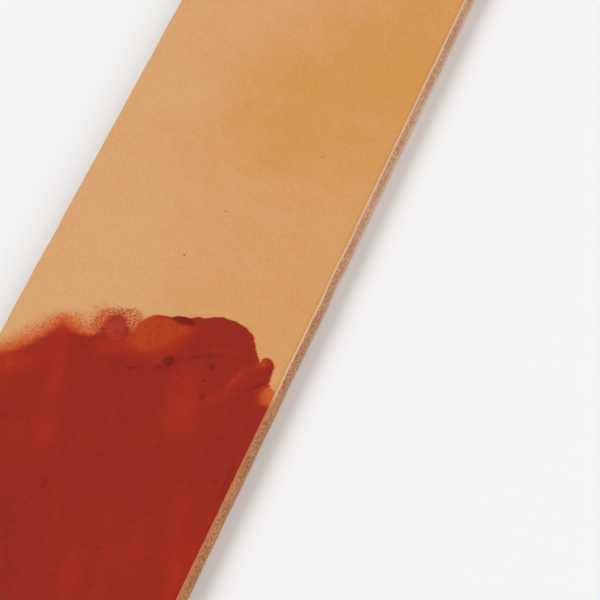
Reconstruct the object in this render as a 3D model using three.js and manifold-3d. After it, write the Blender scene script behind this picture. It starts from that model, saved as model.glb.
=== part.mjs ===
// A leather strop for edge tools: one flat strip of vegetable-tanned leather, grain side up,
// with red honing paste rubbed into the half nearer the user.
// Millimetres, +Z up. The strip runs along Y with its pasted end towards -Y,
// and the origin is the middle of its underside.
import * as THREE from 'three';
import { mergeVertices } from 'three/addons/utils/BufferGeometryUtils.js';
import Module from 'manifold-3d';

const wasm = await Module();
wasm.setup();

// The strip
const strapLength = 300;
const strapWidth = 50;
const strapThickness = 4;
const arrisEase = 0.3; // how much the cut arrises are rubbed down

// The worked-in coat of paste
const coatLength = 150; // from the pasted end to the middle of the fringe
const coatThickness = 0.3;
const coatEdgeRound = 0.12;
const coatMargin = 0.6; // bare leather beside the long arrises and the end, outside the eased arris

// The thicker deposits that stand on the coat
const dabWidthShare = 0.15; // of the coat's half width, so that the dab stays on its lobe of the fringe
const dabLength = 5;
const dabHeight = 0.5;
const beadLength = 6;
const beadWidth = 1.3;
const beadHeight = 0.8;
const crumbHeight = 0.45;

// The fringe, from the right-hand margin to the left: the share of the coat's half width,
// then millimetres along the strip from the fringe line.
const fringe = [
  [1.0, -12.0],
  [0.95, -10.8],
  [0.93, -8.0],
  [0.91, -5.0],
  [0.86, -3.6],
  [0.83, -5.4],
  [0.79, -4.6],
  [0.72, -1.2],
  [0.65, 2.6],
  [0.53, 5.4],
  [0.41, 6.2],
  [0.3, 4.7],
  [0.15, 3.9],
  [-0.03, 3.8],
  [-0.11, 1.9],
  [-0.145, -1.4],
  [-0.2, 1.3],
  [-0.28, 3.2],
  [-0.345, 2.2],
  [-0.37, -1.4],
  [-0.42, -3.2],
  [-0.53, -2.5],
  [-0.62, -0.8],
  [-0.69, -3.2],
  [-0.76, -7.2],
  [-0.89, -10.6],
  [-1.0, -13.0],
];

// Where each deposit sits, in the fringe's own terms
const dabPlace = [-0.262, -0.5];
const beadPlace = [0.17, 2.4];
const crumbs = {
  paste_crumb_left: { place: [-0.01, -10.4], length: 1.5, width: 0.8, turn: 0.4 },
  paste_crumb_middle: { place: [0.2, -8.2], length: 2.6, width: 1.3, turn: 0.6 },
  paste_crumb_right: { place: [0.51, -11.4], length: 1.2, width: 0.9, turn: 0.2 },
};

const leather = new THREE.MeshStandardMaterial({
  name: 'leather',
  color: new THREE.Color().setRGB(0.84, 0.6, 0.36, THREE.SRGBColorSpace),
  roughness: 0.6,
  metalness: 0,
});

const paste = new THREE.MeshStandardMaterial({
  name: 'paste',
  color: new THREE.Color().setRGB(0.61, 0.17, 0.13, THREE.SRGBColorSpace),
  roughness: 0.55,
  metalness: 0,
});

const strapTop = strapThickness;
const coatTop = strapTop + coatThickness;
const coatHalfWidth = strapWidth / 2 - arrisEase - coatMargin;
const coatEnd = -strapLength / 2 + arrisEase + coatMargin;
const dabWidth = dabWidthShare * coatHalfWidth;
const fringeLine = -strapLength / 2 + coatLength;

// A point on the strip's face, from a share of the coat's half width and a distance from the fringe line
function onFace([across, along]) {
  return new THREE.Vector2(across * coatHalfWidth, fringeLine + along);
}

function toSolid(geometry) {
  geometry.deleteAttribute('normal');
  geometry.deleteAttribute('uv');
  const welded = mergeVertices(geometry);
  const vertProperties = new Float32Array(welded.attributes.position.array);
  const triVerts = new Uint32Array(welded.index.array);
  return new wasm.Manifold(new wasm.Mesh({ numProp: 3, vertProperties, triVerts }));
}

function toGeometry(solid) {
  const { vertProperties, triVerts } = solid.getMesh();
  const geometry = new THREE.BufferGeometry();
  geometry.setAttribute('position', new THREE.BufferAttribute(vertProperties, 3));
  geometry.setIndex(new THREE.BufferAttribute(triVerts, 1));
  geometry.computeVertexNormals();
  return geometry;
}

// The strip: square-cut ends, every arris eased
function makeStrap() {
  const outline = new THREE.Shape();
  outline.moveTo(-strapWidth / 2, -strapLength / 2);
  outline.lineTo(strapWidth / 2, -strapLength / 2);
  outline.lineTo(strapWidth / 2, strapLength / 2);
  outline.lineTo(-strapWidth / 2, strapLength / 2);
  outline.closePath();
  const geometry = new THREE.ExtrudeGeometry(outline, {
    depth: strapThickness - 2 * arrisEase,
    bevelThickness: arrisEase,
    bevelSize: arrisEase,
    bevelOffset: -arrisEase,
    bevelSegments: 3,
  });
  geometry.translate(0, 0, arrisEase);
  const mesh = new THREE.Mesh(geometry, leather);
  mesh.name = 'leather_strap';
  return mesh;
}

// A deposit of paste: an outline raised to a height, its rim rounded off, its underside flat
function makeDeposit(name, outline, height, rimRound, base) {
  const raised = new THREE.ExtrudeGeometry(outline, {
    depth: height - rimRound,
    bevelThickness: rimRound,
    bevelSize: rimRound,
    bevelOffset: -rimRound,
    bevelSegments: 3,
    curveSegments: 5,
  });
  const flatBased = toSolid(raised).trimByPlane([0, 0, 1], 0);
  const mesh = new THREE.Mesh(toGeometry(flatBased), paste);
  mesh.name = name;
  mesh.position.z = base;
  return mesh;
}

// The coat runs from the pasted end to the fringe, where it was rubbed out unevenly
function makeCoat() {
  const edge = fringe.map(onFace);
  const outline = new THREE.Shape();
  outline.moveTo(-coatHalfWidth, coatEnd);
  outline.lineTo(coatHalfWidth, coatEnd);
  outline.lineTo(edge[0].x, edge[0].y);
  outline.splineThru(edge.slice(1));
  outline.closePath();
  return makeDeposit('paste_coat', outline, coatThickness, coatEdgeRound, strapTop);
}

// An oval deposit on the coat, its long side turned from the strip's width by an angle in radians
function makeOval(name, place, length, width, turn, height) {
  const { x, y } = onFace(place);
  const outline = new THREE.Shape();
  outline.absellipse(x, y, length / 2, width / 2, 0, 2 * Math.PI, false, turn);
  return makeDeposit(name, outline, height, 0.6 * height, coatTop);
}

function makeDab() {
  return makeOval('paste_dab', dabPlace, dabLength, dabWidth, Math.PI / 2, dabHeight);
}

// The bead is a short crescent, squeezed out across the strip and bowed away from the user
function makeBead() {
  const { x, y } = onFace(beadPlace);
  const left = new THREE.Vector2(x - beadLength / 2, y);
  const right = new THREE.Vector2(x + beadLength / 2, y);
  const outline = new THREE.Shape();
  outline.moveTo(left.x, left.y - beadWidth / 2);
  outline.quadraticCurveTo(x, y, right.x, right.y - beadWidth / 2);
  outline.absarc(right.x, right.y, beadWidth / 2, -Math.PI / 2, Math.PI / 2, false);
  outline.quadraticCurveTo(x, y + beadWidth, left.x, left.y + beadWidth / 2);
  outline.absarc(left.x, left.y, beadWidth / 2, Math.PI / 2, 1.5 * Math.PI, false);
  return makeDeposit('paste_bead', outline, beadHeight, 0.4 * beadWidth, coatTop);
}

const strop = new THREE.Group();
strop.add(makeStrap(), makeCoat(), makeDab(), makeBead());
for (const [name, { place, length, width, turn }] of Object.entries(crumbs)) {
  strop.add(makeOval(name, place, length, width, turn, crumbHeight));
}

export default strop;
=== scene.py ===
import math

import bmesh
import bpy
import numpy as np
from mathutils import Matrix, Vector, noise


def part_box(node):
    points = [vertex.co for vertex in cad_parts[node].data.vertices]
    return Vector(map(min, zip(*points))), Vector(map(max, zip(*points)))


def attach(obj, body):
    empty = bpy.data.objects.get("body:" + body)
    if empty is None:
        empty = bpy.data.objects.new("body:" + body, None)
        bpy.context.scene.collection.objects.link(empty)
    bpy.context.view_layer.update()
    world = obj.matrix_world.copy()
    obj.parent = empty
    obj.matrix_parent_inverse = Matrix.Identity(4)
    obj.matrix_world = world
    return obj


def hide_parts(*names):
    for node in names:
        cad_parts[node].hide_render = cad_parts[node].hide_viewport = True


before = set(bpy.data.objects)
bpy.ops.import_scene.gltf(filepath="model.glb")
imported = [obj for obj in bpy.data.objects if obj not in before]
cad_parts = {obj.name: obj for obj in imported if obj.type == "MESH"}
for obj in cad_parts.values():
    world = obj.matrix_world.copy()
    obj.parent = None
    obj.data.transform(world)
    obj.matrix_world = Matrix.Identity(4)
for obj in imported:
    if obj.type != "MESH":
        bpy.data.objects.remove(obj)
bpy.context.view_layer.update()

mm = 0.001


def boxInMm(node):
    low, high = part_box(node)
    return low / mm, high / mm


strapLow, strapHigh = boxInMm("leather_strap")
coatLow, coatHigh = boxInMm("paste_coat")
halfWidth = strapHigh.x
halfLength = strapHigh.y
strapTop = strapHigh.z
coatHalfWidth = coatHigh.x


# Camera, floor and light

viewpoint = {
    "aim": (21.6, 12.7, 4.0),  # millimetres, where the middle of the view meets the face
    "azimuth": 19.78,  # degrees, like the next two
    "elevation": 36.92,
    "roll": -5.03,
    "distance": 962.0,  # millimetres
    "lens": 348.0,
    "farthest": 60.0,  # metres, past the far edge of the floor
}

studio = {
    "floorSize": 30.0,  # metres
    "floorColour": (0.93, 0.93, 0.925, 1),
    "floorRoughness": 0.9,
    "floorGloss": 0.1,
    "horizon": (0.94, 0.94, 0.94, 1),
    "horizonUpTo": 0.06,  # height in the sky, from 0 at the horizon to 1 overhead
    "overhead": (0.36, 0.36, 0.36, 1),
    "overheadFrom": 0.35,
    "lamps": {
        "leftLamp": {"from": (-0.66, 0.3, 0.72), "spread": 35, "power": 1.75},
        "rightLamp": {"from": (0.75, -0.3, 0.5), "spread": 50, "power": 1.25},
    },
}


def placeCamera():
    turn = Matrix.Rotation(math.radians(viewpoint["azimuth"]), 4, "Z")
    tilt = Matrix.Rotation(math.radians(90 - viewpoint["elevation"]), 4, "X")
    roll = Matrix.Rotation(math.radians(viewpoint["roll"]), 4, "Z")
    facing = turn @ tilt @ roll
    back = facing.to_3x3() @ Vector((0, 0, 1))
    eye = (Vector(viewpoint["aim"]) + back * viewpoint["distance"]) * mm
    camera = bpy.data.objects.new("camera", bpy.data.cameras.new("camera"))
    camera.data.lens = viewpoint["lens"]
    camera.data.clip_end = viewpoint["farthest"]
    camera.matrix_world = Matrix.Translation(eye) @ facing
    bpy.context.scene.collection.objects.link(camera)
    bpy.context.scene.camera = camera


def makeFloor():
    form = bmesh.new()
    bmesh.ops.create_grid(form, x_segments=1, y_segments=1, size=studio["floorSize"] / 2)
    mesh = bpy.data.meshes.new("floor")
    form.to_mesh(mesh)
    form.free()
    floor = bpy.data.objects.new("floor", mesh)
    bpy.context.scene.collection.objects.link(floor)
    material = bpy.data.materials.new("floorPaper")
    material.use_nodes = True
    shader = material.node_tree.nodes["Principled BSDF"]
    shader.inputs["Base Color"].default_value = studio["floorColour"]
    shader.inputs["Roughness"].default_value = studio["floorRoughness"]
    shader.inputs["Specular IOR Level"].default_value = studio["floorGloss"]
    mesh.materials.append(material)


def lightStudio():
    # the sky is bright only near the horizon, where it meets the floor
    world = bpy.data.worlds.new("studio")
    world.use_nodes = True
    tree = world.node_tree
    direction = tree.nodes.new("ShaderNodeTexCoord")
    parts = tree.nodes.new("ShaderNodeSeparateXYZ")
    sky = tree.nodes.new("ShaderNodeValToRGB")
    sky.color_ramp.elements[0].position = studio["horizonUpTo"]
    sky.color_ramp.elements[0].color = studio["horizon"]
    sky.color_ramp.elements[1].position = studio["overheadFrom"]
    sky.color_ramp.elements[1].color = studio["overhead"]
    tree.links.new(direction.outputs["Generated"], parts.inputs[0])
    tree.links.new(parts.outputs["Z"], sky.inputs["Fac"])
    tree.links.new(sky.outputs["Color"], tree.nodes["Background"].inputs["Color"])
    bpy.context.scene.world = world
    for name, lamp in studio["lamps"].items():
        light = bpy.data.lights.new(name, "SUN")
        light.angle = math.radians(lamp["spread"])
        light.energy = lamp["power"]
        holder = bpy.data.objects.new(name, light)
        holder.matrix_world = Vector(lamp["from"]).to_track_quat("Z", "Y").to_matrix().to_4x4()
        bpy.context.scene.collection.objects.link(holder)
    bpy.context.scene.view_settings.view_transform = "Standard"


placeCamera()
makeFloor()
lightStudio()
print("camera, floor and light are set")


# Where the paste lies. Every place is in millimetres on the face, and every wobble comes from the place
# itself, so it is the same each time.

# The fringe from right to left, as a share of the coat's half width and millimetres along the strap
fringe = [
    (1.04, -12.7),
    (1.01, -11.9),
    (0.98, -11.0),
    (0.954, -10.0),
    (0.948, -8.4),
    (0.944, -7.1),
    (0.938, -5.8),
    (0.92, -4.7),
    (0.89, -3.8),
    (0.855, -3.3),
    (0.843, -3.7),
    (0.838, -4.6),
    (0.834, -5.6),
    (0.809, -4.3),
    (0.773, -2.5),
    (0.74, -0.8),
    (0.71, 1.2),
    (0.667, 2.5),
    (0.62, 3.6),
    (0.53, 5.0),
    (0.41, 5.6),
    (0.3, 4.8),
    (0.15, 4.2),
    (-0.03, 3.9),
    (-0.11, 1.9),
    (-0.14, -1.2),
    (-0.2, 1.2),
    (-0.27, 3.0),
    (-0.34, 2.6),
    (-0.365, 0.0),
    (-0.376, -2.6),
    (-0.42, -3.2),
    (-0.485, -2.7),
    (-0.554, -1.9),
    (-0.6, -0.8),
    (-0.642, -0.3),
    (-0.67, -1.4),
    (-0.7, -3.0),
    (-0.74, -4.9),
    (-0.81, -7.3),
    (-0.89, -9.2),
    (-0.95, -10.2),
    (-1.04, -11.5),
]

# How far the orange haze reaches past the fringe, and how gradually the paste thickens inside it,
# by place across the strap, all in millimetres
hazeReach = {
    -25: 5.4,
    -21: 7.0,
    -16: 4.4,
    -12: 6.2,
    -10: 5.8,
    -8.5: 2.2,
    -4.5: 2.6,
    -2.6: 1.6,
    -1.4: 0.5,
    8: 0.35,
    20: 0.4,
    25: 0.6,
}
pasteRise = {-25: 3.4, -16: 2.6, -12: 3.0, -9.5: 2.0, -2.5: 0.5, 8: 0.4, 22: 0.4, 25: 2.4}

# Grains of dry paste caught in the pores round the dab
stipple = {"middle": (-6.4, 0.6), "reach": (4.9, 4.7), "soft": (0.8, 1.06)}

# Patches where the paste is thinner and oranger than elsewhere
thinPatches = [
    {"middle": (0.6, -0.6), "reach": (7.2, 8.2), "soft": (0.45, 1.15), "strength": 1.0},
    {"middle": (-4.6, -5.4), "reach": (5.0, 3.8), "soft": (0.1, 1.1), "strength": 0.7},
    {"middle": (24.8, -12.6), "reach": (3.0, 3.7), "soft": (0.55, 1.15), "strength": 1.5},
    {"middle": (20.7, -4.7), "reach": (1.2, 2.0), "soft": (0.1, 1.2), "strength": 1.05},
    {"middle": (-22.0, -12.0), "reach": (8.0, 5.0), "soft": (0.1, 1.1), "strength": 0.45},
    {"middle": (-14.8, -1.6), "reach": (4.0, 3.0), "soft": (0.1, 1.1), "strength": 0.4},
]

# Patches where the bare face is tanned deeper, or paler where the strength is less than nothing. Both
# are partly the leather's own tone and partly a painted sheen, which pales the left of the face and
# leaves the upper right darker
tanAndSheenPatches = [
    {"middle": (15.0, 74.0), "reach": (30.0, 34.0), "soft": (0.0, 1.3), "strength": 0.27},
    {"middle": (0.0, 66.0), "reach": (17.0, 32.0), "soft": (0.0, 1.3), "strength": 0.12},
    {"middle": (3.5, 48.5), "reach": (11.0, 5.0), "soft": (0.0, 1.3), "strength": 0.08},
    {"middle": (-16.0, 66.0), "reach": (10.0, 8.0), "soft": (0.0, 1.3), "strength": -0.18},
    {"middle": (-15.0, 13.0), "reach": (20.0, 22.0), "soft": (0.0, 1.3), "strength": -0.22},
]

# Rubbed marks: the line each follows, its half width, and how much brighter or darker it is
rubMarks = [
    ([(-14.7, -2.0), (-13.2, -8.0), (-11.6, -15.0), (-9.6, -23.0), (-8.3, -31.0)], 1.9, 0.32),
    ([(-17.0, -8.0), (-20.5, -17.0), (-22.5, -28.0)], 3.4, 0.22),
    ([(9.0, -12.0), (10.4, -17.0), (10.8, -23.0)], 4.2, 0.32),
    ([(20.0, -5.8), (18.8, -6.5), (18.0, -7.8), (17.3, -9.6), (16.8, -12.0)], 0.4, 0.6),
    ([(19.6, -6.8), (18.4, -9.0), (17.4, -12.4), (15.4, -16.0)], 1.6, 0.26),
    ([(11.6, -3.4), (13.6, -2.8), (16.0, -3.6)], 0.5, 0.3),
    ([(22.2, -10.0), (21.2, -11.6), (19.4, -12.6)], 0.35, -0.6),
    ([(0.2, 3.6), (3.6, 3.9)], 0.3, -0.7),
    ([(-17.4, -26.3), (-15.0, -26.7), (-13.0, -26.6)], 0.4, -0.3),
    ([(24.0, -33.0), (24.0, -41.0)], 0.7, -0.3),
    ([(6.8, -58.0), (7.2, -72.0)], 1.9, 0.24),
    ([(11.6, -56.0), (12.4, -68.0)], 1.5, 0.22),
    ([(14.2, -48.0), (14.8, -56.0)], 1.3, 0.2),
    ([(18.6, -43.0), (20.6, -49.0), (22.6, -57.0)], 2.4, 0.26),
    ([(23.2, -59.0), (22.8, -69.0)], 2.0, 0.36),
    ([(-4.8, -41.6), (-4.6, -42.6)], 0.6, -0.5),
    ([(9.0, -55.6), (9.2, -56.6)], 0.6, -0.5),
    ([(12.4, -7.1), (12.8, -7.9)], 0.5, -0.7),
    ([(13.3, -15.0), (13.6, -16.0)], 0.6, -0.7),
    ([(8.8, -5.9), (10.6, -5.0), (12.8, -4.7)], 0.6, -0.45),
    ([(5.2, -6.4), (5.6, -7.0)], 0.4, -0.7),
    ([(3.8, -9.2), (4.4, -9.6)], 0.35, -0.6),
    ([(-4.3, 2.2), (-3.9, 0.2), (-4.3, -2.4)], 0.6, -0.5),
]

# How the fringe wanders, how the haze fades, and how uneven the patches and the marks are
spread = {
    "broadWander": 0.35,
    "broadScale": 0.9,  # a scale is in waves to the millimetre, or to a patch's reach
    "fineWander": 0.15,
    "fineScale": 2.3,
    "calmer": (4.0, 16.0),  # across the strap, the wander dies down from here to here
    "calmerBy": 0.6,
    "hazeFall": 1.6,
    "bareRim": (0.3, 0.1),  # the paste fades out between these distances from the long sides
    "hazeDots": 0.14,
    "hazeDotsUpTo": -2.0,  # across the strap
    "patchWobble": 0.2,
    "patchScale": 2.2,
    "markFade": 1.5,  # of a mark's half width
    "markUneven": 0.7,
    "markScale": (0.45, 0.25),
}

fringeLine = [(share * coatHalfWidth, along) for share, along in fringe]


def smoothStep(low, high, value):
    share = np.clip((value - low) / (high - low), 0, 1)
    return share * share * (3 - 2 * share)


def noiseAt(x, y, seed=0.0):
    # smooth noise from -1 to 1 at each point
    return np.array([noise.noise((across, along, seed)) for across, along in zip(x, y)])


def readCurve(points, x):
    return np.interp(x, list(points), list(points.values()))


def distanceToLine(x, y, points):
    nearest = np.full(len(x), 1e6)
    for (ax, ay), (bx, by) in zip(points, points[1:]):
        share = ((x - ax) * (bx - ax) + (y - ay) * (by - ay)) / ((bx - ax) ** 2 + (by - ay) ** 2)
        share = np.clip(share, 0, 1)
        nearest = np.minimum(nearest, np.hypot(x - ax - share * (bx - ax), y - ay - share * (by - ay)))
    return nearest


def fringeAt(x):
    across, along = np.array(fringeLine[::-1]).T
    return np.interp(x, across, along)


def insidePaste(x, y):
    # millimetres inside the fringe, and less than nothing outside it
    away = distanceToLine(x, y, fringeLine)
    away = np.where(y < fringeAt(x), away, -away)
    loose = 1 - spread["calmerBy"] * smoothStep(*spread["calmer"], x)
    broad = noiseAt(x * spread["broadScale"], y * spread["broadScale"])
    fine = noiseAt(x * spread["fineScale"], y * spread["fineScale"], seed=4.0)
    return away + loose * (spread["broadWander"] * broad + spread["fineWander"] * fine)


def patchStrength(x, y, patch):
    across, along = patch["middle"]
    wide, long = patch["reach"]
    sideways = (x - across) / wide
    lengthways = (y - along) / long
    scale = spread["patchScale"]
    wobble = spread["patchWobble"] * noiseAt(sideways * scale + across, lengthways * scale, seed=33.0)
    return 1 - smoothStep(*patch["soft"], np.hypot(sideways, lengthways) + wobble)


def pasteMasks(x, y):
    # cover is 0 on bare leather, 0.5 at the fringe and 1 under full paste
    inside = insidePaste(x, y)
    haze = 0.5 * np.clip(1 + inside / readCurve(hazeReach, x), 0, 1) ** spread["hazeFall"]
    body = 0.5 + 0.5 * np.clip(inside / readCurve(pasteRise, x), 0, 1)
    cover = np.where(inside > 0, body, haze)
    fadeFrom, fadeTo = spread["bareRim"]
    cover = cover * (1 - smoothStep(halfWidth - fadeFrom, halfWidth - fadeTo, abs(x)))
    dots = patchStrength(x, y, stipple) * (1 - smoothStep(0.6, 0.9, cover))
    inHaze = smoothStep(0.02, 0.2, cover) * (1 - smoothStep(0.35, 0.5, cover))
    dots = np.maximum(dots, spread["hazeDots"] * inHaze * (x < spread["hazeDotsUpTo"]))
    thin = np.zeros(len(x))
    for patch in thinPatches:
        thin = np.maximum(thin, patch["strength"] * patchStrength(x, y, patch))
    # the bare face's deeper tan and its painted sheen, from the patches above
    tanAndSheen = np.zeros(len(x))
    for patch in tanAndSheenPatches:
        tanAndSheen += patch["strength"] * patchStrength(x, y, patch)
    tone = np.zeros(len(x))
    for line, wide, change in rubMarks:
        tone += change * (1 - smoothStep(0.0, spread["markFade"], distanceToLine(x, y, line) / wide))
    scaleAcross, scaleAlong = spread["markScale"]
    tone = tone * (1 + spread["markUneven"] * noiseAt(x * scaleAcross, y * scaleAlong, seed=15.0))
    return {"cover": cover, "dots": dots, "thin": thin, "tanAndSheen": tanAndSheen, "tone": tone}


# The skin's own unevenness, in millimetres: how deep it lies below the flat face, then how high and how
# long its swells and its ripples are, across and along the strap
skin = {
    "below": 0.06,
    "swell": 0.05,
    "swellLength": (19, 31),
    "ripple": 0.012,
    "rippleLength": (2.1, 2.6),
}


def leatherLift(x, y):
    swellAcross, swellAlong = skin["swellLength"]
    rippleAcross, rippleAlong = skin["rippleLength"]
    swell = skin["swell"] * noiseAt(x / swellAcross, y / swellAlong, seed=7.0)
    ripple = skin["ripple"] * noiseAt(x / rippleAcross, y / rippleAlong, seed=9.0)
    return -skin["below"] + swell + ripple


# Shader building

def colour(red, green, blue):
    # sRGB out of 255 to the linear colour that a socket takes
    shares = [value / 255 for value in (red, green, blue)]
    linear = [s / 12.92 if s <= 0.04045 else ((s + 0.055) / 1.055) ** 2.4 for s in shares]
    return (*linear, 1)


class Wire:
    # one socket of a node tree, so that shader maths reads as sums
    def __init__(self, graph, socket):
        self.graph = graph
        self.socket = socket

    def maths(self, operation, first, second):
        return self.graph.add("Math", {0: first, 1: second}, operation=operation)

    def __add__(self, other):
        return self.maths("ADD", self, other)

    def __radd__(self, other):
        return self.maths("ADD", other, self)

    def __sub__(self, other):
        return self.maths("SUBTRACT", self, other)

    def __rsub__(self, other):
        return self.maths("SUBTRACT", other, self)

    def __mul__(self, other):
        return self.maths("MULTIPLY", self, other)

    def __rmul__(self, other):
        return self.maths("MULTIPLY", other, self)

    def __lt__(self, other):
        return self.maths("LESS_THAN", self, other)

    def eased(self, low, high):
        # 0 below low, 1 above high, smooth between
        span = {"Value": self, "From Min": low, "From Max": high}
        return self.graph.add("MapRange", span, interpolation_type="SMOOTHSTEP")


class Graph:
    # a material's node tree, with the few ways of adding to it that this file needs
    def __init__(self, name):
        self.material = bpy.data.materials.new(name)
        self.material.use_nodes = True
        self.tree = self.material.node_tree
        self.tree.nodes.clear()
        own = self.add("TexCoord", output="Object")
        self.place = self.add("VectorMath", {0: own, "Scale": 1 / mm}, operation="SCALE")  # millimetres
        self.x = self.add("SeparateXYZ", {0: self.place}, output="X")
        self.y = self.add("SeparateXYZ", {0: self.place}, output="Y")
        self.z = self.add("SeparateXYZ", {0: self.place}, output="Z")

    def add(self, kind, sockets=None, output=0, stops=None, **settings):
        node = self.tree.nodes.new("ShaderNode" + kind)
        for name, value in settings.items():
            setattr(node, name, value)
        if stops:
            elements = node.color_ramp.elements
            while len(elements) < len(stops):
                elements.new(1)
            for element, (position, shade) in zip(elements, stops):
                element.position = position
                element.color = shade
        for key, value in (sockets or {}).items():
            if isinstance(value, Wire):
                self.tree.links.new(value.socket, node.inputs[key])
            else:
                node.inputs[key].default_value = value
        return Wire(self, node.outputs[output]) if node.outputs else None

    def mask(self, name):
        return self.add("Attribute", attribute_name=name, output="Fac")

    def mix(self, share, first, second):
        return self.add("Mix", {0: share, 6: first, 7: second}, output=2, data_type="RGBA")

    def shade(self, shade, amount):
        return self.add("VectorMath", {0: shade, "Scale": amount}, operation="SCALE")

    def turned(self, degrees, stretch):
        # the place, with its axes turned about the vertical: a large stretch makes a long mark
        sockets = {"Vector": self.place, "Rotation": (0, 0, math.radians(degrees)), "Scale": stretch}
        return self.add("Mapping", sockets, vector_type="TEXTURE")

    def noise(self, scale, detail, roughness, place=None, seed=0.0):
        # a scale is in waves to the millimetre
        sockets = {
            "Vector": place or self.place,
            "W": seed,
            "Scale": scale,
            "Detail": detail,
            "Roughness": roughness,
        }
        return self.add("TexNoise", sockets, noise_dimensions="4D")

    def cells(self, scale, output="Distance", **settings):
        # a scale is in cells to the millimetre
        return self.add("TexVoronoi", {"Vector": self.place, "Scale": scale}, output=output, **settings)

    def finish(self, base, roughness, height, depth, gloss):
        bump = self.add("Bump", {"Height": height, "Distance": depth * mm}, output="Normal")
        sockets = {
            "Base Color": base,
            "Roughness": roughness,
            "Normal": bump,
            "Specular IOR Level": gloss,
        }
        surface = self.add("BsdfPrincipled", sockets)
        self.add("OutputMaterial", {"Surface": surface})
        return self.material


# Finishes

leather = {
    "pale": colour(217, 165, 113),
    "warm": colour(212, 147, 73),
    "rubbedArris": colour(186, 118, 62),
    "speck": colour(120, 70, 36),
    "warmth": 0.18,  # at the left arris, where 0 is pale and 1 is warm
    "warmthAcross": 0.26,  # and how much more there is at the right one; the paler left is partly a painted sheen, partly the leather's own tone
    "clouds": 0.55,  # how much the clouds and the mottle change the warmth
    "mottle": 0.5,
    "strokes": 0.28,  # how much the fibre strokes change the brightness
    "rubbed": 0.22,
    "specks": 0.8,
    "speckScale": 0.11,
    "pebbleScale": 2.3,
    "roughness": 0.55,
    "unevenRoughness": 0.2,
    "gloss": 0.03,
    "grainDepth": 0.02,  # millimetres
}

paste = {
    "dark": colour(125, 31, 26),
    "middle": colour(151, 41, 29),
    "bright": colour(173, 47, 29),
    "orange": colour(182, 72, 28),
    "haze": colour(203, 93, 44),
    "grains": colour(158, 52, 34),
    "crimson": colour(174, 56, 46),
    "clot": colour(112, 24, 18),
    "tone": 0.45,  # where 0 is dark and 1 is orange
    "toneFall": 0.05,  # how much less there is towards the fringe, and where it falls
    "fallAlong": (-40.0, -15.0),
    "streaks": 0.3,  # how much each of these changes the tone
    "blotches": 0.45,
    "mottle": 0.5,
    "marks": 0.5,
    "thinness": 0.52,
    "roughness": 0.6,
    "unevenRoughness": 0.25,
    "grit": 0.7,  # how much the grit breaks up the film's edge
    "hazeGrit": 4.2,  # and the haze
    "farGrit": 0.12,  # and the haze's last trace
    "hazeCover": (0.02, 0.46),  # the haze begins at the first cover and is full at the second
    "filmCover": (0.4, 0.74),  # and so does the film
    "grainHaze": 0.42,  # how much haze lies among the dry grains
    "grainShare": 0.9,
    "grainScale": 2.2,
    "grainRise": 0.8,
}


def grainSide(graph):
    # the smooth tanned face: colour, roughness and height
    clouds = graph.noise(0.045, 3, 0.55, graph.turned(35, (1, 2, 1)))
    mottle = graph.noise(0.35, 3, 0.6, graph.turned(35, (1, 2.2, 1)), seed=3.0)
    strokes = graph.noise(2.0, 2, 0.5, graph.turned(28, (0.7, 2, 1)), seed=5.0)
    across = graph.x.eased(-halfWidth, halfWidth)
    # warmth rises towards the right arris and with the patch mask; the pale left of the face is partly
    # its own tone and partly a painted sheen
    warmth = leather["warmth"] + leather["warmthAcross"] * across + graph.mask("tanAndSheen")
    warmth = warmth + (clouds - 0.5) * leather["clouds"] + (mottle - 0.5) * leather["mottle"]
    base = graph.mix(warmth.eased(0.0, 1.0), leather["pale"], leather["warm"])
    base = graph.shade(base, 1 - leather["strokes"] / 2 + leather["strokes"] * strokes)
    nearArris = graph.x.eased(halfWidth - 0.8, halfWidth - 0.3)
    base = graph.mix(nearArris * leather["rubbed"], base, leather["rubbedArris"])
    specks = 1 - graph.cells(leather["speckScale"]).eased(0.012, 0.03)
    base = graph.mix(specks * leather["specks"], base, leather["speck"])
    pebbles = graph.cells(leather["pebbleScale"], feature="DISTANCE_TO_EDGE").eased(0.0, 0.16)
    height = pebbles * 0.5 + strokes * 0.6 + mottle * 0.8
    roughness = leather["roughness"] + (mottle - 0.5) * leather["unevenRoughness"]
    return base, roughness, height


def pasteBody(graph):
    # the red paste where it covers: colour, roughness and height
    streaks = graph.noise(0.4, 3, 0.5, graph.turned(10, (1, 6, 1)), seed=11.0)
    blotches = graph.noise(0.1, 2, 0.5, graph.turned(10, (1, 2, 1)), seed=13.0)
    mottle = graph.noise(1.0, 3, 0.6, seed=17.0)
    tone = paste["tone"] - paste["toneFall"] * graph.y.eased(*paste["fallAlong"])
    tone = tone + (streaks - 0.5) * paste["streaks"] + (blotches - 0.5) * paste["blotches"]
    tone = tone + (mottle - 0.5) * paste["mottle"]
    tone = tone + graph.mask("tone") * paste["marks"] + graph.mask("thin") * paste["thinness"]
    stops = [
        (0.0, paste["dark"]),
        (0.4, paste["middle"]),
        (0.75, paste["bright"]),
        (1.0, paste["orange"]),
    ]
    base = graph.add("ValToRGB", {"Fac": tone}, stops=stops)
    roughness = paste["roughness"] + (streaks - 0.5) * paste["unevenRoughness"]
    height = streaks * 0.5 + mottle * 0.6
    return base, roughness, height


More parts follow.
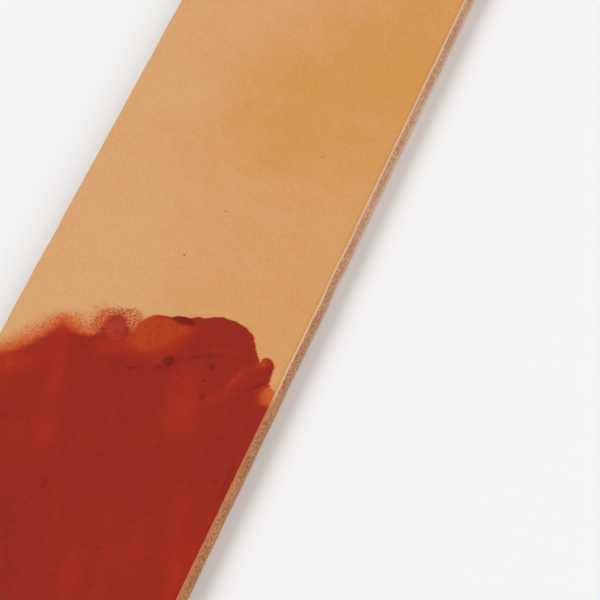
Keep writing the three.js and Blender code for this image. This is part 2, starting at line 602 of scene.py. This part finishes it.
def rubbedFace(graph):
    # tanned face and paste together, by how much paste covers the place
    bare, bareRough, bareHeight = grainSide(graph)
    red, redRough, redHeight = pasteBody(graph)
    cover = graph.mask("cover")
    dots = graph.mask("dots")
    grit = graph.noise(3.4, 2, 0.6, seed=23.0) * 0.8 + graph.noise(0.9, 2, 0.5, seed=29.0) * 0.2 - 0.5
    # loose grit at the left of the fringe, little in its middle and some at the right-hand hook
    loose = 0.6 + 0.4 * graph.x.eased(-22.0, -17.0)
    loose = loose - 0.6 * graph.x.eased(-4.0, 4.0) + 0.5 * graph.x.eased(20.0, 21.5)
    gritInHaze = cover * (1 - cover) * paste["hazeGrit"] + paste["farGrit"] * cover.eased(0.0, 0.05)
    haze = (cover + grit * loose * gritInHaze).eased(*paste["hazeCover"]) * (1 - 0.2 * dots)
    haze = haze + (1 - haze) * dots * paste["grainHaze"]
    # the film's edge comes out to the fringe in the middle, and draws back where the paste is thinnest
    tight = 0.2 * graph.x.eased(-3.0, 0.0) - 0.64 * graph.mask("thin").eased(1.0, 1.45)
    film = (cover + tight + grit * loose * paste["grit"]).eased(*paste["filmCover"])
    base = graph.mix(haze, bare, paste["haze"])
    base = graph.mix(film, base, red)
    lot = graph.cells(paste["grainScale"], output="Color", voronoi_dimensions="2D")
    spot = 1 - graph.cells(paste["grainScale"], voronoi_dimensions="2D").eased(0.2, 0.5)
    grains = (lot < dots * paste["grainShare"]) * spot
    base = graph.mix(grains * 0.8, base, paste["grains"])
    roughness = bareRough * (1 - film) + redRough * film
    height = bareHeight * (1 - 0.7 * film) + redHeight * film + grains * paste["grainRise"]
    return base, roughness, height


def faceMaterial(name):
    graph = Graph(name)
    base, roughness, height = rubbedFace(graph)
    return graph.finish(base, roughness, height, leather["grainDepth"], leather["gloss"])


# How a deposit's own colour breaks up at its rim, how dark it gets in places, and where and which way
# a finger smeared it
depositLook = {
    "rimMottle": 0.4,
    "darkMottle": 0.5,
    "mottleScale": 1.4,
    "smearScale": 1.5,
    "smearTurn": 132,
    "smearUpTo": (-2.0, 2.0),
}


def depositMaterial(name, facts):
    # a thick deposit, whose feathered rim takes the look of what it lies on
    graph = Graph(name)
    base, roughness, height = rubbedFace(graph)
    mottle = graph.noise(depositLook["mottleScale"], 3, 0.6, seed=61.0)
    lengthened = graph.turned(depositLook["smearTurn"], (1, 6, 1))
    smears = graph.noise(depositLook["smearScale"], 2, 0.5, lengthened, seed=67.0)
    smeared = (1 - graph.y.eased(*depositLook["smearUpTo"])) * facts["smears"]
    lump = graph.mask("lump") + (mottle - 0.5) * depositLook["rimMottle"] + (smears - 0.5) * smeared
    darkness = mottle.eased(0.3, 0.8) * depositLook["darkMottle"]
    own = graph.mix(darkness, paste[facts["shade"]], paste["dark"])
    own = graph.mix(smears.eased(0.44, 0.66) * smeared, own, paste["haze"])
    base = graph.mix(lump.eased(0.05, 0.7) * facts["strength"], base, own)
    return graph.finish(base, roughness, height, leather["grainDepth"], leather["gloss"])


cutEdge = {
    "grainLineWithHighlight": colour(222, 184, 150),
    "grainLinePasted": colour(194, 114, 82),
    "light": colour(226, 180, 142),
    "dark": colour(160, 108, 76),
    "agedLight": colour(216, 155, 105),
    "agedDark": colour(134, 78, 44),
    "fleck": colour(92, 52, 34),
    "fleshLine": colour(220, 184, 156),
    "agedFleshLine": colour(184, 134, 98),
    "paintedContactShadow": colour(128, 98, 80),
    "grainLineFrom": (3.25, 3.5),  # heights in millimetres, each line fading between its two
    "fleshLineUpTo": (0.6, 1.2),
    "paintedContactShadowUpTo": (0.1, 0.26),
    "darkShare": 0.55,  # how much of the core is dark, and how far its fibres and its clouds change that
    "fibreContrast": 4.5,
    "cloudContrast": 0.6,
    "flecks": 0.6,
    "lineWander": 0.4,
    "pastedUpTo": (-17.0, -10.0),  # along the strap
    "agedUpTo": (-30.0, 50.0),
    "roughness": 0.85,
    "depth": 0.12,
    "gloss": 0.2,
}


def cutEdgeMaterial():
    graph = Graph("leatherCutEdge")
    level = graph.z + (graph.noise(0.8, 3, 0.6, seed=31.0) - 0.5) * cutEdge["lineWander"]
    fibres = graph.noise(2.6, 5, 0.7, graph.turned(0, (1, 1.3, 0.8)), seed=37.0)
    clouds = graph.noise(0.12, 2, 0.5, seed=41.0)
    aged = 1 - graph.y.eased(*cutEdge["agedUpTo"])
    share = (fibres - 0.5) * cutEdge["fibreContrast"] + (clouds - 0.5) * cutEdge["cloudContrast"]
    share = (share + cutEdge["darkShare"]).eased(0.0, 1.0)
    light = graph.mix(aged, cutEdge["light"], cutEdge["agedLight"])
    dark = graph.mix(aged, cutEdge["dark"], cutEdge["agedDark"])
    base = graph.mix(share, light, dark)
    flecks = 1 - graph.cells(2.1).eased(0.14, 0.34)
    base = graph.mix(flecks * cutEdge["flecks"], base, cutEdge["fleck"])
    # the pale line along the top of the cut edge: the raw grain layer, with a painted highlight where
    # the rounded arris catches the light; paste tints it at the near end
    clean = graph.y.eased(*cutEdge["pastedUpTo"])
    grainLineWithHighlight = graph.mix(clean, cutEdge["grainLinePasted"], cutEdge["grainLineWithHighlight"])
    base = graph.mix(level.eased(*cutEdge["grainLineFrom"]), base, grainLineWithHighlight)
    fleshLine = graph.mix(aged, cutEdge["fleshLine"], cutEdge["agedFleshLine"])
    low = (1 - level.eased(*cutEdge["fleshLineUpTo"])) * (1 - 0.45 * share)
    base = graph.mix(low, base, fleshLine)
    # a painted contact shadow along the very bottom of the cut edge, where the strap meets the floor
    base = graph.mix(1 - graph.z.eased(*cutEdge["paintedContactShadowUpTo"]), base, cutEdge["paintedContactShadow"])
    return graph.finish(base, cutEdge["roughness"], fibres, cutEdge["depth"], cutEdge["gloss"])


fleshSide = {
    "light": colour(206, 172, 142),
    "dark": colour(172, 134, 104),
    "roughness": 0.92,
    "depth": 0.15,
    "gloss": 0.2,
}


def fleshMaterial():
    graph = Graph("leatherFlesh")
    fuzz = graph.noise(1.8, 5, 0.7, graph.turned(20, (0.8, 1.7, 1)), seed=43.0)
    clouds = graph.noise(0.06, 3, 0.5, seed=47.0)
    share = ((fuzz - 0.5) * 2 + (clouds - 0.5) * 1.4 + 0.5).eased(0.0, 1.0)
    base = graph.mix(share, fleshSide["light"], fleshSide["dark"])
    return graph.finish(base, fleshSide["roughness"], fuzz, fleshSide["depth"], fleshSide["gloss"])


# Pieces

def finishPiece(form, name, materials, nodes):
    # from millimetres to metres, then onto the frame in place of its CAD nodes
    bmesh.ops.scale(form, vec=(mm, mm, mm), verts=form.verts)
    mesh = bpy.data.meshes.new(name)
    form.to_mesh(mesh)
    form.free()
    mesh.shade_smooth()
    for material in materials:
        mesh.materials.append(material)
    paintMasks(mesh)
    piece = bpy.data.objects.new(name, mesh)
    bpy.context.scene.collection.objects.link(piece)
    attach(piece, "root")
    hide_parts(*nodes)
    print(name, len(mesh.polygons), "faces")
    return piece


def placesOf(mesh):
    places = np.empty(len(mesh.vertices) * 3, np.float32)
    mesh.vertices.foreach_get("co", places)
    return places.reshape(-1, 3).astype(float) / mm


def paintMasks(mesh):
    places = placesOf(mesh)
    for name, values in pasteMasks(places[:, 0], places[:, 1]).items():
        mask = mesh.attributes.new(name, "FLOAT", "POINT")
        mask.data.foreach_set("value", values.astype(np.float32))


strap = {
    "columns": 120,
    "layers": 10,
    "fineStep": 0.42,  # millimetres between stations where the fringe is
    "coarseStep": 1.5,
    "fineFrom": -21.0,
    "fineTo": 11.0,
    "arris": 0.22,
    "arrisSegments": 3,
    "upright": 0.9,  # a face whose normal is more upright than this is on the grain or the flesh side
    "edgeWander": 0.14,
    "wanderLength": 9,
    "edgeFibre": 0.05,
    "fibreScale": (0.9, 1.1),  # along the edge and up it
    "edgeReach": (1.4, 0.2),  # the edge's unevenness fades in between these distances from it
    "fuzz": 0.05,
    "fuzzScale": 0.7,
}


def strapStations():
    stations = [strapLow.y]
    while stations[-1] < strapHigh.y - strap["coarseStep"]:
        fine = strap["fineFrom"] < stations[-1] < strap["fineTo"]
        stations.append(stations[-1] + (strap["fineStep"] if fine else strap["coarseStep"]))
    return stations + [strapHigh.y]


def makeStrap(materials):
    form = bmesh.new()
    stand = Matrix.Rotation(math.pi / 2, 4, "X")
    middle = Vector((0, strapLow.y, (strapLow.z + strapTop) / 2))
    flat = Matrix.Diagonal((halfWidth, (strapTop - strapLow.z) / 2, 1, 1))
    place = Matrix.Translation(middle) @ stand @ flat
    segments = {"x_segments": strap["columns"], "y_segments": strap["layers"]}
    bmesh.ops.create_grid(form, size=1, matrix=place, **segments)
    nearEnd = form.faces[:]
    ring = [edge for edge in form.edges if edge.is_boundary]
    farEnd = bmesh.ops.duplicate(form, geom=form.verts[:] + form.edges[:] + nearEnd)["geom"]
    farVerts = [item for item in farEnd if isinstance(item, bmesh.types.BMVert)]
    bmesh.ops.translate(form, vec=(0, strapHigh.y - strapLow.y, 0), verts=farVerts)
    stations = strapStations()
    for near, far in zip(stations, stations[1:]):
        made = bmesh.ops.extrude_edge_only(form, edges=ring)["geom"]
        verts = [item for item in made if isinstance(item, bmesh.types.BMVert)]
        new = set(verts)
        ring = [item for item in made if isinstance(item, bmesh.types.BMEdge) and set(item.verts) <= new]
        bmesh.ops.translate(form, vec=(0, far - near, 0), verts=verts)
    bmesh.ops.remove_doubles(form, verts=form.verts, dist=0.01)
    bmesh.ops.recalc_face_normals(form, faces=form.faces)
    arrises = [edge for edge in form.edges if edge.calc_face_angle(0) > 1]  # radians
    bmesh.ops.bevel(
        form,
        geom=arrises,
        offset=strap["arris"],
        offset_type="OFFSET",
        segments=strap["arrisSegments"],
        profile=0.5,
        affect="EDGES",
        material=-1,
    )
    for face in form.faces:
        up = face.normal.z
        face.material_index = 0 if up > strap["upright"] else 2 if up < -strap["upright"] else 1
    weather(form)
    finishPiece(form, "leatherStrap", materials, ["leather_strap"])


def weather(form):
    # skin, cut sides and flesh side each get their own unevenness
    x, y, z = np.array([vert.co for vert in form.verts]).T
    height = z / strapTop
    lift = leatherLift(x, y)
    fuzz = strap["fuzz"] * (1 + noiseAt(x * strap["fuzzScale"], y * strap["fuzzScale"], seed=21.0))
    wander = noiseAt(y / strap["wanderLength"], x * 0, seed=25.0) * strap["edgeWander"]
    along, up = strap["fibreScale"]
    fibre = noiseAt(y * along, z * up + x, seed=27.0) * strap["edgeFibre"]
    endFibre = noiseAt(x * along, z * up + y, seed=29.0) * strap["edgeFibre"]
    fadeFrom, fadeTo = strap["edgeReach"]
    nearSide = smoothStep(halfWidth - fadeFrom, halfWidth - fadeTo, abs(x))
    nearEnd = smoothStep(halfLength - fadeFrom, halfLength - fadeTo, abs(y))
    for vert, dx, dy, dz in zip(
        form.verts,
        np.sign(x) * nearSide * (wander + fibre),
        np.sign(y) * nearEnd * (endFibre - strap["edgeFibre"]),
        lift * height + fuzz * (1 - height),
    ):
        vert.co += Vector((dx, dy, dz))


# All in millimetres but the counts and the scales
coat = {
    "columns": 150,
    "fineRows": 75,
    "coarseRows": 110,
    "fineLength": 24.0,  # millimetres behind the fringe that have the fine rows
    "overrun": 0.8,  # how far the feathered edge runs past the fringe
    "body": 0.1,  # how thick the film is, before its streaks and ripples
    "streak": 0.035,
    "streakScale": (0.55, 0.05),  # waves to the millimetre, across and along the strap
    "ripple": 0.02,
    "rippleScale": (1.1, 0.4),
    "rise": (-0.3, 2.4),  # inside the fringe, the coat reaches its full thickness between these
    "sideRise": (-0.2, 3.6),
    "endRise": (0.0, 1.5),
    "rim": 0.05,  # the raised rim, how far inside the fringe it runs and how wide it is
    "rimInside": 1.1,
    "rimWidth": 0.6,
    "rimFrom": -3,  # across the strap
    "feather": 0.04,  # how deep the feathered edge dips into the skin
    "sink": 0.1,  # below the skin, so that no gap shows
}


def coatThickness(x, y):
    inside = insidePaste(x, y)
    rise = smoothStep(*coat["rise"], inside)
    rise = rise * smoothStep(*coat["sideRise"], coatHalfWidth - abs(x))
    rise = rise * smoothStep(*coat["endRise"], y - coatLow.y)
    streakAcross, streakAlong = coat["streakScale"]
    rippleAcross, rippleAlong = coat["rippleScale"]
    streaks = noiseAt(x * streakAcross, y * streakAlong, seed=51.0)
    ripples = noiseAt(x * rippleAcross, y * rippleAlong, seed=53.0)
    body = coat["body"] + coat["streak"] * streaks + coat["ripple"] * ripples
    fromRim = (inside - coat["rimInside"]) / coat["rimWidth"]
    rim = coat["rim"] * np.exp(-fromRim ** 2) * (x > coat["rimFrom"])
    return rise * (body + rim) - coat["feather"] * (1 - rise)


def makeCoat(material):
    form = bmesh.new()
    rows = coat["fineRows"] + coat["coarseRows"]
    bmesh.ops.create_grid(form, x_segments=coat["columns"], y_segments=rows, size=1)
    places = np.array([vert.co for vert in form.verts])
    x = places[:, 0] * coatHalfWidth
    row = (places[:, 1] + 1) / 2 * rows
    fringeEnd = fringeAt(x) + coat["overrun"]
    fineStart = fringeEnd - coat["fineLength"]
    coarse = coatLow.y + (fineStart - coatLow.y) * np.minimum(row / coat["coarseRows"], 1)
    fine = coat["fineLength"] * np.maximum(row - coat["coarseRows"], 0) / coat["fineRows"]
    y = coarse + fine
    z = strapTop + leatherLift(x, y) + coatThickness(x, y)
    for vert, place in zip(form.verts, zip(x, y, z)):
        vert.co = place
    top = form.faces[:]
    made = bmesh.ops.extrude_face_region(form, geom=top)["geom"]
    lifted = {item for item in made if isinstance(item, bmesh.types.BMVert)}
    for vert in form.verts:
        if vert not in lifted:
            vert.co.z = min(vert.co.z, strapTop - coat["sink"]) - coat["sink"]
    bmesh.ops.recalc_face_normals(form, faces=form.faces)
    finishPiece(form, "pasteCoat", [material], ["paste_coat"])


# How every deposit is lumpy: how its outline wobbles, how gritty its height is, and how far it is set
# into the coat, in millimetres
lumpiness = {
    "outlineScale": (1.3, 3.1),
    "fineOutline": 0.6,
    "grit": 0.4,
    "gritScale": 1.3,
    "set": 0.03,
}

# Thick deposits. Each stands where its CAD node stands, moved by its shift. Length is across the strap,
# width along it, rise above the coat, turn in degrees, and strength how far its own colour covers
deposits = {
    "fingerDab": {
        "node": "paste_dab",
        "shift": (-0.1, 0.2),
        "length": 4.9,
        "width": 8.8,
        "rise": 0.24,
        "turn": 21,
        "bow": 0.0,
        "rim": 1.3,
        "ragged": 0.18,
        "shade": "crimson",
        "strength": 0.85,
        "smears": 0.36,
    },
    "squeezedBead": {
        "node": "paste_bead",
        "shift": (0.0, 0.45),
        "length": 6.4,
        "width": 2.6,
        "rise": 0.45,
        "turn": -14,
        "bow": 0.8,
        "rim": 1.3,
        "ragged": 0.25,
        "shade": "clot",
        "strength": 0.85,
        "smears": 0.0,
    },
    "leftCrumb": {
        "node": "paste_crumb_left",
        "shift": (0.0, 0.0),
        "length": 2.0,
        "width": 0.9,
        "rise": 0.2,
        "turn": 30,
        "bow": 0.0,
        "rim": 0.9,
        "ragged": 0.6,
        "shade": "clot",
        "strength": 0.5,
        "smears": 0.0,
    },
    "middleCrumb": {
        "node": "paste_crumb_middle",
        "shift": (0.2, 0.3),
        "length": 1.4,
        "width": 3.8,
        "rise": 0.3,
        "turn": 16,
        "bow": 0.0,
        "rim": 0.9,
        "ragged": 0.68,
        "shade": "clot",
        "strength": 0.72,
        "smears": 0.0,
    },
    "rightCrumb": {
        "node": "paste_crumb_right",
        "shift": (0.0, 0.0),
        "length": 1.1,
        "width": 0.9,
        "rise": 0.2,
        "turn": 11,
        "bow": 0.0,
        "rim": 0.9,
        "ragged": 0.6,
        "shade": "clot",
        "strength": 0.6,
        "smears": 0.0,
    },
}


def makeDeposit(name, facts):
    low, high = boxInMm(facts["node"])
    middle = (low + high) / 2 + Vector((*facts["shift"], 0))
    form = bmesh.new()
    bmesh.ops.create_icosphere(form, subdivisions=6, radius=1)
    broadScale, fineScale = lumpiness["outlineScale"]
    lumps = []
    for vert in form.verts:
        out = vert.co.copy()
        flat = Vector((out.x, out.y, 0))
        side = flat.normalized()
        fine = lumpiness["fineOutline"] * noise.noise(side * fineScale + middle)
        wobble = noise.noise(side * broadScale + middle) + fine
        reach = 1 + facts["ragged"] * wobble  # the same all along a radius, so that nothing folds over
        across = out.x * reach * facts["length"] / 2
        along = out.y * reach * facts["width"] / 2 + facts["bow"] * (0.5 - out.x ** 2)
        dome = max(0.0, 1 - flat.length_squared) ** facts["rim"]
        grit = 1 + lumpiness["grit"] * noise.noise(Vector((across, along, 5)) * lumpiness["gritScale"])
        above = out.z > 0
        vert.co = (across, along, dome * grit * facts["rise"] if above else -coat["sink"] * dome)
        lumps.append(dome if above else 0.0)
    turn = Matrix.Rotation(math.radians(facts["turn"]), 3, "Z")
    bmesh.ops.rotate(form, matrix=turn, verts=form.verts)
    bmesh.ops.translate(form, vec=(middle.x, middle.y, 0), verts=form.verts)
    x, y, z = np.array([vert.co for vert in form.verts]).T
    ground = strapTop + leatherLift(x, y) + coatThickness(x, y)
    for vert, level in zip(form.verts, ground):
        vert.co.z += level - lumpiness["set"]
    piece = finishPiece(form, name, [depositMaterial(name, facts)], [facts["node"]])
    mask = piece.data.attributes.new("lump", "FLOAT", "POINT")
    mask.data.foreach_set("value", lumps)


makeStrap([faceMaterial("leatherFace"), cutEdgeMaterial(), fleshMaterial()])
makeCoat(faceMaterial("pasteFilm"))
for name, facts in deposits.items():
    makeDeposit(name, facts)
